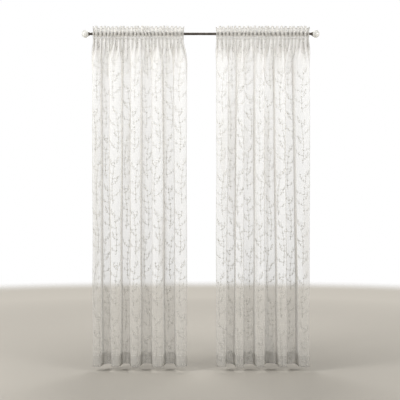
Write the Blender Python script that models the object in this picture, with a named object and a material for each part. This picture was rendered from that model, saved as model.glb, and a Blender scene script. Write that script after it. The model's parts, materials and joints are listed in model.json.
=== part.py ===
"""A pair of sheer voile curtain panels gathered on one thin rod with ball finials.

Units are metres and +Z is up. +X runs along the rod to the right as seen from the room, and +Y runs
from the room towards the wall. The origin is the middle of the rod, on its axis.

Each panel is one solid: a flat blank with a header, a rod pocket and a hem is made first, and every
point of it is then moved to its place in the hung folds.
"""

from collections import namedtuple
import math

import bmesh
import bpy
import numpy as np

# Rod and finials; pieces that touch keep the small gap between them
ROD_RADIUS = 0.008
ROD_LENGTH = 1.376
ROD_SIDES = 24
GAP = 0.0003
TURNED_SIDES = 20
NECK_LENGTH = 0.0137
COLLAR_RADIUS = 0.0088
COLLAR_LENGTH = 0.0022
WAIST_RADIUS = 0.0068
WAIST_AT = 0.0045
RIM_RADIUS = 0.0150
RIM_WALL = 0.0008
BALL_RADIUS = 0.024
BALL_SEAT_RADIUS = 0.0112
FLARE_STEPS = 5
FLARE_POWER = 1.4
CUP_STEPS = 2
BALL_STEPS = 9

# The cloth, cut and sewn
CLOTH_WIDTH = 1.270
HEADER_TOP = 0.047
HEM_BOTTOM = -2.085
HEM_DEPTH = 0.076
SINGLE_LAYER = 0.0012
DOUBLE_LAYER = 0.0024
GATHERS = 24
COLUMNS = 4 * GATHERS
GATHER_AT_ROD = 0.0065
HEADER_SCALLOP = 0.0025

# The pocket's roof lies on the rod, and its two walls swing clear of the rod in every gather
POCKET_ROOF = ROD_RADIUS + GAP
POCKET_REACH = ROD_RADIUS + GATHER_AT_ROD + 0.0015
POCKET_WIDEST = -0.010
POCKET_SEAM = -0.034
POCKET_FLOOR = POCKET_SEAM + 3.0 * SINGLE_LAYER

# Share of a point's reach that counts as height, to put the pocket's roof points in their order downwards
REACH_AS_HEIGHT = 0.1

# Heights between the pocket and the hem, with every gather and then with the wide folds only
GATHERED_HEIGHTS = (-0.060, -0.078, -0.100, -0.140, -0.175)
FOLDED_HEIGHTS = (-0.21, -0.32, -0.75, -1.35)

# How far the gathers stand out from the middle of the cloth, by height
Gather = namedtuple("Gather", "height amplitude")
GATHER_AMPLITUDES = (
    Gather(HEM_BOTTOM, 0.0),
    Gather(-0.320, 0.0),
    Gather(-0.210, 0.0016),
    Gather(-0.140, 0.0048),
    Gather(-0.095, 0.0076),
    Gather(-0.060, 0.0088),
    Gather(POCKET_SEAM, 0.0078),
    Gather(0.0, GATHER_AT_ROD),
    Gather(POCKET_ROOF, GATHER_AT_ROD),
    Gather(HEADER_TOP, 0.0098),
)

# The wide folds start at the pocket's lower seam and have their full depth a hand's length lower
FOLDS_START = POCKET_SEAM
FOLDS_FULL = -0.200

# Roundest and squarest section that a fold may have, as the share of a full round wave
ROUND_SECTION = 1.0
SQUARE_SECTION = 0.20

# One row for each fold that comes forward: its two sides at the top of the fall and at the hem, its depth
Fold = namedtuple("Fold", "left_top right_top left_hem right_hem depth")

Panel = namedtuple("Panel", "name rod_left rod_right folds unevenness")

LEFT_PANEL = Panel(
    name="panel_left",
    rod_left=-0.676,
    rod_right=-0.106,
    folds=(
        Fold(-0.678, -0.623, -0.675, -0.617, 0.094),
        Fold(-0.576, -0.491, -0.563, -0.500, 0.102),
        Fold(-0.441, -0.371, -0.444, -0.375, 0.096),
        Fold(-0.305, -0.239, -0.305, -0.227, 0.106),
        Fold(-0.170, -0.086, -0.156, -0.084, 0.098),
    ),
    unevenness=0.4,
)

RIGHT_PANEL = Panel(
    name="panel_right",
    rod_left=0.098,
    rod_right=0.681,
    folds=(
        Fold(0.098, 0.176, 0.099, 0.160, 0.102),
        Fold(0.226, 0.273, 0.214, 0.271, 0.092),
        Fold(0.339, 0.402, 0.339, 0.405, 0.104),
        Fold(0.459, 0.531, 0.484, 0.544, 0.098),
        Fold(0.582, 0.684, 0.610, 0.683, 0.106),
    ),
    unevenness=2.1,
)

# Slow waves across the cloth's width that make the gathers uneven: size, how many, and where they start
Sway = namedtuple("Sway", "size waves start")
SPACING_SWAYS = (Sway(0.0060, 2.3, 1.0), Sway(0.0024, 7.1, 3.0))
SIZE_SWAY = Sway(0.22, 3.7, 2.0)

# Points along a row of cloth at which its curve is worked out, between one column and the next
FINENESS = 8
FULL_TURN = 2.0 * math.pi


def clear_scene():
    for obj in list(bpy.data.objects):
        bpy.data.objects.remove(obj)


def material(name, colour, roughness, metallic=0.0):
    result = bpy.data.materials.new(name)
    result.use_nodes = True
    shader = result.node_tree.nodes["Principled BSDF"]
    shader.inputs["Base Color"].default_value = (*colour, 1.0)
    shader.inputs["Roughness"].default_value = roughness
    shader.inputs["Metallic"].default_value = metallic
    result.diffuse_color = (*colour, 1.0)
    return result


def finished(name, bm, surface, smooth_angle):
    """The mesh as an object of the scene, shaded smooth up to the given angle."""
    bmesh.ops.recalc_face_normals(bm, faces=bm.faces)
    mesh = bpy.data.meshes.new(name)
    bm.to_mesh(mesh)
    bm.free()
    mesh.shade_smooth()
    mesh.set_sharp_from_angle(angle=smooth_angle)
    mesh.materials.append(surface)
    obj = bpy.data.objects.new(name, mesh)
    bpy.context.collection.objects.link(obj)
    return obj


def turned(profile, sides):
    """A solid turned about the X axis from (x, radius) points that start and end on the axis."""
    bm = bmesh.new()
    verts = [bm.verts.new((x, 0.0, radius)) for x, radius in profile]
    edges = [bm.edges.new(pair) for pair in zip(verts, verts[1:])]
    bmesh.ops.spin(
        bm,
        geom=verts + edges,
        cent=(0.0, 0.0, 0.0),
        axis=(1.0, 0.0, 0.0),
        angle=FULL_TURN,
        steps=sides,
        use_merge=True,
    )
    bmesh.ops.remove_doubles(bm, verts=bm.verts, dist=1e-6)
    return bm


def make_rod(surface):
    half = ROD_LENGTH / 2.0
    profile = ((-half, 0.0), (-half, ROD_RADIUS), (half, ROD_RADIUS), (half, 0.0))
    return finished("rod", turned(profile, ROD_SIDES), surface, math.radians(40))


def ball_centre():
    """The middle of a ball, measured from the neck's inner end."""
    return NECK_LENGTH + GAP + math.sqrt(BALL_RADIUS**2 - BALL_SEAT_RADIUS**2)


def neck_profile():
    """Collar, waist, flare and a shallow cup that holds the ball, with a flat seat at its bottom."""
    points = [(0.0, 0.0), (0.0, COLLAR_RADIUS), (COLLAR_LENGTH, COLLAR_RADIUS)]
    points.append((WAIST_AT - COLLAR_LENGTH / 2.0, WAIST_RADIUS))
    cup_radius = BALL_RADIUS + GAP
    rim_inner = RIM_RADIUS - RIM_WALL
    rim_at = ball_centre() - math.sqrt(cup_radius**2 - rim_inner**2)
    for step in range(FLARE_STEPS + 1):
        along = step / FLARE_STEPS
        x = WAIST_AT + (rim_at - WAIST_AT) * along
        points.append((x, WAIST_RADIUS + (RIM_RADIUS - WAIST_RADIUS) * along**FLARE_POWER))
    for step in range(CUP_STEPS + 1):
        radius = rim_inner + (BALL_SEAT_RADIUS - rim_inner) * step / CUP_STEPS
        points.append((ball_centre() - math.sqrt(cup_radius**2 - radius**2), radius))
    points[-1] = (NECK_LENGTH, BALL_SEAT_RADIUS)
    points.append((NECK_LENGTH, 0.0))
    return points


def ball_profile():
    """A ball with a small flat where it sits in its neck."""
    seat = math.asin(BALL_SEAT_RADIUS / BALL_RADIUS)
    points = [(NECK_LENGTH + GAP, 0.0)]
    for step in range(BALL_STEPS + 1):
        angle = seat + (math.pi - seat) * step / BALL_STEPS
        x = ball_centre() - BALL_RADIUS * math.cos(angle)
        points.append((x, BALL_RADIUS * math.sin(angle)))
    points[-1] = (points[-1][0], 0.0)
    return points


def make_finials(metal, glass):
    """A neck and a ball at each end of the rod; the left pair is the right pair turned half round."""
    smooth = math.radians(50)
    neck = finished("finial_neck_right", turned(neck_profile(), TURNED_SIDES), metal, smooth)
    ball = finished("finial_ball_right", turned(ball_profile(), TURNED_SIDES), glass, smooth)
    end = ROD_LENGTH / 2.0 + GAP
    for right in (neck, ball):
        right.location.x = end
        left = bpy.data.objects.new(right.name.replace("right", "left"), right.data)
        left.rotation_euler.z = math.pi
        left.location.x = -end
        bpy.context.collection.objects.link(left)


def blank_profile(bm, through):
    """The cloth seen edge on: header, rod pocket, fall and hem, as flat faces in the YZ plane."""

    def point(height, reach=0.0, layer=0.0):
        vert = bm.verts.new((0.0, reach, height))
        vert[through] = layer / 2.0
        return vert

    def pair(height, layer):
        return point(height, layer=-layer), point(height, layer=layer)

    def strip(above, below, *seam):
        bm.faces.new((above[0], below[0], below[1], above[1], *seam))

    # Header, down to the seam that rests on the rod
    top = pair(HEADER_TOP, DOUBLE_LAYER)
    middle = pair((HEADER_TOP + POCKET_ROOF) / 2.0, DOUBLE_LAYER)
    seam = pair(POCKET_ROOF + DOUBLE_LAYER, DOUBLE_LAYER)
    roof = point(POCKET_ROOF)
    strip(top, middle)
    bm.faces.new((middle[0], seam[0], roof, seam[1], middle[1]))

    # Pocket: the wall on the room's side, then the one on the wall's side
    floor = point(POCKET_FLOOR)
    under = pair(POCKET_SEAM, SINGLE_LAYER)
    for outer, last, sign in ((seam[0], under[0], -1.0), (seam[1], under[1], 1.0)):
        inner = roof
        for inside_height, outside_height in (
            (POCKET_ROOF, POCKET_ROOF + SINGLE_LAYER),
            (POCKET_WIDEST, POCKET_WIDEST),
        ):
            outside = point(outside_height, sign * POCKET_REACH, sign * SINGLE_LAYER)
            inside = point(inside_height, sign * POCKET_REACH, -sign * SINGLE_LAYER)
            bm.faces.new((outer, outside, inside, inner))
            outer = outside
            inner = inside
        bm.faces.new((outer, last, floor, inner))

    # Fall, then the hem's step and the hem
    hem_top = HEM_BOTTOM + HEM_DEPTH
    below = pair(GATHERED_HEIGHTS[0], SINGLE_LAYER)
    strip(under, below, floor)
    for height in (*GATHERED_HEIGHTS[1:], *FOLDED_HEIGHTS, hem_top + SINGLE_LAYER):
        above = below
        below = pair(height, SINGLE_LAYER)
        strip(above, below)
    for height in (hem_top, HEM_BOTTOM):
        above = below
        below = pair(height, DOUBLE_LAYER)
        strip(above, below)


def split_faces(bm, through):
    """Cuts each face across the width along the same diagonal, so the cloth's two sides can't cross."""

    def down_the_profile(vert):
        return vert.co.z - REACH_AS_HEIGHT * abs(vert.co.y), vert[through]

    for face in list(bm.faces):
        columns = [vert.co.x for vert in face.verts]
        middle = (min(columns) + max(columns)) / 2.0
        left = [vert for vert in face.verts if vert.co.x < middle]
        right = [vert for vert in face.verts if vert.co.x > middle]
        if left and right:
            start = max(left, key=down_the_profile)
            end = min(right, key=down_the_profile)
            bmesh.utils.face_split(face, start, end)


def flat_blank():
    """The panel laid out flat, with X from 0 to 1 across its width and its pocket standing open."""
    bm = bmesh.new()
    through = bm.verts.layers.float.new("through")
    blank_profile(bm, through)
    region = [*bm.verts, *bm.edges, *bm.faces]
    for _ in range(COLUMNS):
        region = bmesh.ops.extrude_face_region(bm, geom=region)["geom"]
        moved = [item for item in region if isinstance(item, bmesh.types.BMVert)]
        bmesh.ops.translate(bm, verts=moved, vec=(1.0 / COLUMNS, 0.0, 0.0))
    split_faces(bm, through)
    return bm, through


def eased(value, start, end):
    """0 before start and 1 after end, with a smooth change between them."""
    share = min(max((value - start) / (end - start), 0.0), 1.0)
    return share * share * (3.0 - 2.0 * share)


def fold_section(panel, height, rounding):
    """A row of cloth in the wide folds: X, Y and the length of cloth up to each point."""
    low = min(max((FOLDS_FULL - height) / (FOLDS_FULL - HEM_BOTTOM), 0.0), 1.0)
    sides = []
    depths = []
    for fold in panel.folds:
        sides.append(fold.left_top + (fold.left_hem - fold.left_top) * low)
        sides.append(fold.right_top + (fold.right_hem - fold.right_top) * low)
        depths.extend((fold.depth, fold.depth))
    x = np.linspace(sides[0], sides[-1], COLUMNS * FINENESS * 2)
    phase = np.interp(x, sides, np.arange(len(sides)) * math.pi)
    depth = np.interp(x, sides, depths)
    wave = np.sin(phase) / np.sqrt(np.sin(phase) ** 2 + (rounding * np.cos(phase)) ** 2)
    y = -0.5 * depth * wave
    run = np.concatenate(([0.0], np.cumsum(np.hypot(np.diff(x), np.diff(y)))))
    return x, y, run


def fold_rounding(panel):
    """How round the folds are when the whole width of the cut lies in them, found by halving."""
    squarer = SQUARE_SECTION
    rounder = ROUND_SECTION
    for _ in range(20):
        middle = (squarer + rounder) / 2.0
        if fold_section(panel, HEM_BOTTOM, middle)[2][-1] > CLOTH_WIDTH:
            squarer = middle
        else:
            rounder = middle
    return rounder


def normals(x, y):
    """Unit normals of a row, pointing away from the room."""
    along_x = np.gradient(x)
    along_y = np.gradient(y)
    size = np.hypot(along_x, along_y)
    return -along_y / size, along_x / size


def swayed(sway, panel, columns):
    return sway.size * np.sin(FULL_TURN * sway.waves * columns + sway.start * panel.unevenness)


def row_curve(panel, height, columns, rounding):
    """The hung row of cloth at a height: its middle line and its normals at evenly spaced columns."""
    drift = sum(swayed(sway, panel, columns) for sway in SPACING_SWAYS)
    lengths = columns + drift * np.sin(math.pi * columns)
    section_x, section_y, run = fold_section(panel, height, rounding)
    folded_x = np.interp(lengths, run / run[-1], section_x)
    folded_y = np.interp(lengths, run / run[-1], section_y)
    straight = panel.rod_left + (panel.rod_right - panel.rod_left) * lengths
    share = eased(-height, -FOLDS_START, -FOLDS_FULL)
    x = straight + (folded_x - straight) * share
    y = folded_y * share
    across, outward = normals(x, y)
    heights = [row.height for row in GATHER_AMPLITUDES]
    amplitudes = [row.amplitude for row in GATHER_AMPLITUDES]
    size = 1.0 + swayed(SIZE_SWAY, panel, columns)
    if POCKET_SEAM <= height < HEADER_TOP / 2.0:
        size = np.minimum(size, 1.0)
    gather = -np.interp(height, heights, amplitudes) * size * np.cos(FULL_TURN * GATHERS * columns)
    x = x + across * gather
    y = y + outward * gather
    return (x, y, *normals(x, y))


def hang(bm, through, panel):
    """Moves every point of the flat blank to its place in the hung folds, with its side hems doubled."""
    columns = np.linspace(0.0, 1.0, COLUMNS * FINENESS + 1)
    rounding = fold_rounding(panel)
    rows = {}
    for vert in bm.verts:
        column, reach, height = vert.co
        key = round(height, 5)
        if key not in rows:
            rows[key] = row_curve(panel, height, columns, rounding)
        x, y, across, outward = (np.interp(column, columns, values) for values in rows[key])
        layer = vert[through]
        at_side = min(column, 1.0 - column) < 0.1 / COLUMNS
        if at_side and reach == 0.0 and layer != 0.0:
            layer = math.copysign(DOUBLE_LAYER / 2.0, layer)
        lift = 0.0
        if key == round(HEADER_TOP, 5):
            lift = HEADER_SCALLOP * math.cos(FULL_TURN * GATHERS * column)
        vert.co = (x + across * layer, y + outward * layer + reach, height + lift)


def make_panel(panel, surface):
    bm, through = flat_blank()
    hang(bm, through, panel)
    return finished(panel.name, bm, surface, math.radians(180))


def main():
    clear_scene()
    bronze = material("dark_bronze", (0.045, 0.038, 0.032), 0.38, 0.85)
    glass = material("pale_glass", (0.80, 0.78, 0.73), 0.12)
    voile = material("sheer_voile", (0.86, 0.85, 0.82), 0.85)
    make_rod(bronze)
    make_finials(bronze, glass)
    make_panel(LEFT_PANEL, voile)
    make_panel(RIGHT_PANEL, voile)


if __name__ == "__main__":
    main()
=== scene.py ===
"""Looks for a pair of sheer voile curtain panels on a thin rod with ball finials.

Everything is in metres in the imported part's own frame: +X along the rod to the right as seen from the
room, +Y towards the wall and +Z up, with the origin on the rod's axis at its middle.
"""

from collections import namedtuple
import json
import math

import bmesh
import bpy
from mathutils import Matrix, Vector
import numpy as np

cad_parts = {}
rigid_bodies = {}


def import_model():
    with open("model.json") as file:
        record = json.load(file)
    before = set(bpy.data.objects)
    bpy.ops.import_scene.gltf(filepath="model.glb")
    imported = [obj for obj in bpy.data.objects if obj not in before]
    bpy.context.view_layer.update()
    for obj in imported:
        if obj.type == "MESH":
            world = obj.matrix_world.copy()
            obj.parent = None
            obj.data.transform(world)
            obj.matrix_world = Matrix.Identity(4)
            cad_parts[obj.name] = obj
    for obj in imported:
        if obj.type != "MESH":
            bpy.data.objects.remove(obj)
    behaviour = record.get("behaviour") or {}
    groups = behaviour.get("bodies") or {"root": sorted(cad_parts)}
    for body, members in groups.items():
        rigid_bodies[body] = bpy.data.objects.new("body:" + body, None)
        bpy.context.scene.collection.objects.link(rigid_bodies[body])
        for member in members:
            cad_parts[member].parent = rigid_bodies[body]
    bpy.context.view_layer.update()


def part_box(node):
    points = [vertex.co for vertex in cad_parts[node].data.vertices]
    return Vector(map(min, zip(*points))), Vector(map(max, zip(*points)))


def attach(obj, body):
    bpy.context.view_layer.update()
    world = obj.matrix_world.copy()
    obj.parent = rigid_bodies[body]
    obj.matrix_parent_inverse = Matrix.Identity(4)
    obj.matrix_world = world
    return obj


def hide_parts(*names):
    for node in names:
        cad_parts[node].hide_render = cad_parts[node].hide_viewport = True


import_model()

bl_info = {
    "name": "Sheer Voile Curtain Pair",
    "version": (1, 0, 0),
    "blender": (4, 5, 0),
    "location": "3D View > Sidebar > Curtain",
    "description": "Hangs a pair of sheer rod-pocket panels on a thin rod with ball finials",
    "category": "Add Mesh",
}

FULL_TURN = 2.0 * math.pi

# The cloth as the part has it
ROD_RADIUS = 0.008
CLOTH_WIDTH = 1.270
HEADER_TOP = 0.047
HEM_BOTTOM = -2.085
HEM_DEPTH = 0.076
GATHERS = 24
GATHER_AT_ROD = 0.0065
FULL_GATHER = 0.009
POCKET_ROOF = 0.0083
POCKET_SEAM = -0.034
HEADER_SEAM = 0.0108
FOLDS_FULL = -0.200

# How round a fold's section can be: 1 is a plain wave, and the nearer to 0 the squarer it is
ROUND_SECTION = 1.0
SQUARE_SECTION = 0.06

# Sizes that change with the height, each table in order of height
Level = namedtuple("Level", "height size")
GATHER_AMPLITUDES = (
    Level(-0.320, 0.0),
    Level(-0.210, 0.0016),
    Level(-0.140, 0.0048),
    Level(-0.095, 0.0076),
    Level(-0.060, 0.0088),
    Level(POCKET_SEAM, 0.0078),
    Level(0.0, GATHER_AT_ROD),
    Level(POCKET_ROOF, GATHER_AT_ROD),
    Level(HEADER_TOP, 0.0098),
)
FOLD_DEPTH_SHARES = (Level(HEM_BOTTOM, 1.0), Level(HEM_BOTTOM + 0.5, 0.88))
GATHER_UNEVENNESS = (Level(0.0, 0.24), Level(HEADER_TOP, 0.42))
GATHER_SLANTS = (Level(POCKET_SEAM, -0.42), Level(HEADER_SEAM, 0.42))
CRUMPLES = (Level(-0.180, 0.0), Level(-0.060, 0.0011), Level(0.020, 0.0008), Level(HEADER_TOP, 0.0010))
PUFFS = (Level(-0.200, 0.0), Level(-0.080, 0.0016), Level(-0.040, 0.0))

# How far the smaller movements of the cloth go, and how far down the crumples do
LOOPING = 0.0024
CRUMPLED_LENGTH = 0.260
GATHER_SHIFT = 0.22
HEADER_LEAN = 0.0065
HEADER_PUFF = 0.0018
SOFT_WAVE = 0.0022
FINE_STREAK = 0.0009
HEADER_SCALLOP = 0.0090
SCALLOP_MIDDLE = 0.85
TOP_EDGE_CHANCE = 0.0036
TOP_CORNER_DROP = 0.0040
HEM_EDGE_CHANCE = 0.0012

# Shares of cover and of painted shade (which darkens the cloth's colour) that the shape adds: in one
# gathered layer and its valleys, in the header and at its rim, in front of the rod, in small pleats,
# near the sides, in the hem and in the channels
SINGLE_COVER = 0.45
VALLEY_COVER = 0.50
HEADER_COVER = 0.20
RIM_COVER = 0.50
OVER_ROD_COVER = 1.80
PLEAT_COVER = 0.80
SIDE_COVER = 0.35
HEADER_SHADE = 0.20
VALLEY_SHADE = 0.25
RIM_SHADE = 0.30
OVER_ROD_SHADE = 0.40
SIDE_SHADE = 0.25
SIDE_WIDTH = 0.04
HEM_SHADE = 0.60
CHANNEL_SHADE = 0.25
LOW_CHANNEL_SHADE = 0.60

# Between which two values these set in: depths towards the wall, and lengths below the rod
CHANNEL_DEPTHS = (-0.030, 0.040)
LOW_CHANNEL_BELOW = (1.20, 1.75)
SOFT_WAVES_BELOW = (0.10, 0.30)
FINE_STREAKS_BELOW = (0.05, 0.12)

# One row for each fold that comes forward: its two sides at the top of the fall and at the hem, its depth
Fold = namedtuple("Fold", "left_top right_top left_hem right_hem depth")
Panel = namedtuple("Panel", "name rod_left rod_right folds unevenness seed")
LEFT_PANEL = Panel(
    name="panel_left",
    rod_left=-0.676,
    rod_right=-0.106,
    folds=(
        Fold(-0.678, -0.623, -0.675, -0.617, 0.094),
        Fold(-0.576, -0.491, -0.563, -0.500, 0.102),
        Fold(-0.441, -0.371, -0.444, -0.375, 0.096),
        Fold(-0.305, -0.239, -0.305, -0.227, 0.106),
        Fold(-0.170, -0.086, -0.156, -0.084, 0.098),
    ),
    unevenness=0.4,
    seed=11,
)
RIGHT_PANEL = Panel(
    name="panel_right",
    rod_left=0.098,
    rod_right=0.681,
    folds=(
        Fold(0.098, 0.176, 0.099, 0.160, 0.102),
        Fold(0.226, 0.273, 0.214, 0.271, 0.092),
        Fold(0.339, 0.402, 0.339, 0.405, 0.104),
        Fold(0.459, 0.531, 0.484, 0.544, 0.098),
        Fold(0.582, 0.684, 0.610, 0.683, 0.106),
    ),
    unevenness=2.1,
    seed=23,
)
PANELS = (LEFT_PANEL, RIGHT_PANEL)

# Slow waves across the width that make the gathers uneven: size, how many, and where they start
Sway = namedtuple("Sway", "size waves start")
SPACING_SWAYS = (Sway(0.0060, 2.3, 1.0), Sway(0.0024, 7.1, 3.0))
SIZE_SWAY = Sway(0.22, 3.7, 2.0)

# How fine the cloth's mesh is
COLUMNS = 16 * GATHERS
SECTION_POINTS = 1536
HALVINGS = 12
SIDE_HEM = 0.024
SIDE_HEM_COLUMNS = 4
LAYER = 0.0006

# The cloth's path seen edge on, from the back of the pocket over the header and down to the hem
Turn = namedtuple("Turn", "height reach behind steps")
POCKET_BACK = (
    Turn(POCKET_SEAM, 0.0, 1.0, 0),
    Turn(-0.022, 0.0085, 1.0, 3),
    Turn(-0.010, 0.0145, 1.0, 3),
    Turn(0.0, 0.0160, 1.0, 3),
    Turn(0.006, 0.0150, 1.0, 2),
    Turn(0.0095, 0.0095, 1.0, 2),
    Turn(HEADER_SEAM, 0.0, 1.0, 2),
    Turn(0.020, 0.0, 2.2, 3),
    Turn(0.035, 0.0, 2.4, 5),
    Turn(0.045, 0.0, 1.6, 4),
    Turn(HEADER_TOP, 0.0, 0.0, 2),
)
POCKET_FRONT = (
    Turn(0.045, 0.0, -1.6, 2),
    Turn(0.035, 0.0, -2.4, 4),
    Turn(0.020, 0.0, -2.2, 5),
    Turn(HEADER_SEAM, 0.0, 0.0, 3),
    Turn(0.0095, -0.0095, 0.0, 2),
    Turn(0.006, -0.0150, 0.0, 2),
    Turn(0.0, -0.0160, 0.0, 2),
    Turn(-0.010, -0.0145, 0.0, 3),
    Turn(-0.022, -0.0085, 0.0, 3),
    Turn(POCKET_SEAM, 0.0, 0.0, 3),
    Turn(-0.140, 0.0, 0.0, 24),
    Turn(-0.320, 0.0, 0.0, 24),
    Turn(-0.900, 0.0, 0.0, 26),
    Turn(HEM_BOTTOM + HEM_DEPTH, 0.0, 0.0, 40),
    Turn(HEM_BOTTOM, 0.0, 0.0, 6),
    Turn(HEM_BOTTOM + 0.002, 0.0, 1.4, 1),
    Turn(HEM_BOTTOM + HEM_DEPTH, 0.0, 1.0, 6),
)


# Values over a panel


def eased(value, start, end):
    """0 before start and 1 after end, with a smooth change between them."""
    share = np.clip((value - start) / (end - start), 0.0, 1.0)
    return share * share * (3.0 - 2.0 * share)


def at_height(levels, height):
    """A size from a table of levels at one height."""
    return np.interp(height, [level.height for level in levels], [level.size for level in levels])


def from_sides(column, width):
    """0 at a panel's two sides and 1 from the given share of its width inwards."""
    return eased(np.minimum(column, 1.0 - column), 0.0, width)


class Unevenness:
    """Smooth chance variation over a panel, from a lattice of seeded values between -1 and 1."""

    def __init__(self, seed, across, down):
        self.values = np.random.default_rng(seed).uniform(-1.0, 1.0, (down + 1, across + 1))

    def at(self, column, low):
        down, across = (count - 1 for count in self.values.shape)
        x = np.clip(column, 0.0, 1.0) * across
        y = np.clip(low, 0.0, 1.0) * down
        left = np.minimum(x.astype(int), across - 1)
        top = np.minimum(np.asarray(y).astype(int), down - 1)
        fx = eased(x - left, 0.0, 1.0)
        fy = eased(y - top, 0.0, 1.0)
        upper = self.values[top, left] * (1.0 - fx) + self.values[top, left + 1] * fx
        lower = self.values[top + 1, left] * (1.0 - fx) + self.values[top + 1, left + 1] * fx
        return upper * (1.0 - fy) + lower * fy


def in_the_pocket(height):
    """0 below the pocket's seam and 1 above it."""
    return eased(height, POCKET_SEAM - 0.004, POCKET_SEAM + 0.012)


def over_rod(height):
    """1 in front of the rod and 0 above and below it."""
    return 1.0 - eased(abs(height), 0.010, 0.022)


def above_rod(height):
    """0 up to the rod's top and 1 in the header."""
    return eased(height, 0.008, 0.016)


def at_rim(height):
    """1 along the header's top edge."""
    return eased(height, HEADER_TOP - 0.009, HEADER_TOP - 0.002)


def one_layer(crest):
    """The cover of a single gathered layer, which is closest in the valleys between the crests."""
    return SINGLE_COVER + VALLEY_COVER * (1.0 - crest**2.0)


def normals(x, y):
    """Unit normals of a row, pointing away from the room."""
    along_x = np.gradient(x)
    along_y = np.gradient(y)
    size = np.hypot(along_x, along_y)
    return -along_y / size, along_x / size


def fold_section(panel, height, rounding):
    """A row of cloth in the wide folds: X, Y and the length of cloth up to each point."""
    low = np.clip((FOLDS_FULL - height) / (FOLDS_FULL - HEM_BOTTOM), 0.0, 1.0)
    depth_share = at_height(FOLD_DEPTH_SHARES, height)
    sides = []
    depths = []
    for fold in panel.folds:
        sides.append(fold.left_top + (fold.left_hem - fold.left_top) * low)
        sides.append(fold.right_top + (fold.right_hem - fold.right_top) * low)
        depths.extend((fold.depth * depth_share, fold.depth * depth_share))
    x = np.linspace(sides[0], sides[-1], SECTION_POINTS)
    phase = np.interp(x, sides, np.arange(len(sides)) * math.pi)
    depth = np.interp(x, sides, depths)
    wave = np.sin(phase) / np.sqrt(np.sin(phase) ** 2 + (rounding * np.cos(phase)) ** 2)
    y = -0.5 * depth * wave
    run = np.concatenate(([0.0], np.cumsum(np.hypot(np.diff(x), np.diff(y)))))
    return x, y, run


def fold_rounding(panel, height):
    """How round the folds are when the whole width of the cut lies in them, found by halving."""
    squarer = SQUARE_SECTION
    rounder = ROUND_SECTION
    for _ in range(HALVINGS):
        middle = (squarer + rounder) / 2.0
        if fold_section(panel, height, middle)[2][-1] > CLOTH_WIDTH:
            squarer = middle
        else:
            rounder = middle
    return rounder


def swayed(sway, panel, columns):
    return sway.size * np.sin(FULL_TURN * sway.waves * columns + sway.start * panel.unevenness)


def how_low(height):
    """0 at the rod and 1 at the hem."""
    return np.clip(height / HEM_BOTTOM, 0.0, 1.0)


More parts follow.
